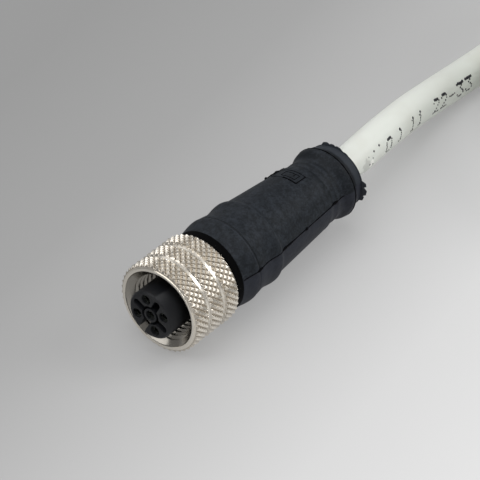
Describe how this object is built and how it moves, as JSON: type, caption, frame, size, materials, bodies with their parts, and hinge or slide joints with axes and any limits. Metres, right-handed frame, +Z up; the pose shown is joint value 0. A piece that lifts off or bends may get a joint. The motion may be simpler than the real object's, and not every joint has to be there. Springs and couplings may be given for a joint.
{
  "type": "m12 connector",
  "caption": "Straight female circular sensor connector moulded onto a coiled cable, with a knurled coupling nut that turns.",
  "frame": {"origin": "middle of the connector's length, under its axis, on the surface that it lies on", "axes": "+Y along the connector's axis from the mouth towards the cable, +Z up, +X to the right seen from the mouth"},
  "size_m": [0.0815, 0.1499, 0.0232],
  "materials": {
    "nickel": "nickel-plated brass",
    "carrier": "moulded nylon",
    "contact": "gold-flashed brass",
    "seal": "red rubber",
    "inner_mould": "hard black moulding",
    "grip": "satin soft moulding",
    "cable": "pale grey jacket",
    "brown_core": "core insulation",
    "white_core": "core insulation",
    "blue_core": "core insulation",
    "black_core": "core insulation",
    "grey_core": "core insulation",
    "tinned": "tinned copper"
  },
  "bodies": {
    "plug": {"contact_carrier": "carrier", "contact_1": "contact", "contact_2": "contact", "contact_3": "contact", "contact_4": "contact", "contact_5": "contact", "o_ring": "seal", "inner_mould": "inner_mould", "grip": "grip", "core_brown": "brown_core", "core_white": "white_core", "core_blue": "blue_core", "core_black": "black_core", "core_grey": "grey_core", "cable_end": "cable", "cable_run": "cable", "cable_coil": "cable", "lead_brown": "brown_core", "lead_white": "white_core", "lead_blue": "blue_core", "lead_black": "black_core", "lead_grey": "grey_core", "lead_tips": "tinned"},
    "nut": {"coupling_nut": "nickel"}
  },
  "joints": [
    {"name": "nut_spin", "type": "hinge", "parent": "plug", "child": "nut", "pos_m": [0, -0.0159, 0.0078], "axis": [0, 1, 0], "continuous": true}
  ]
}
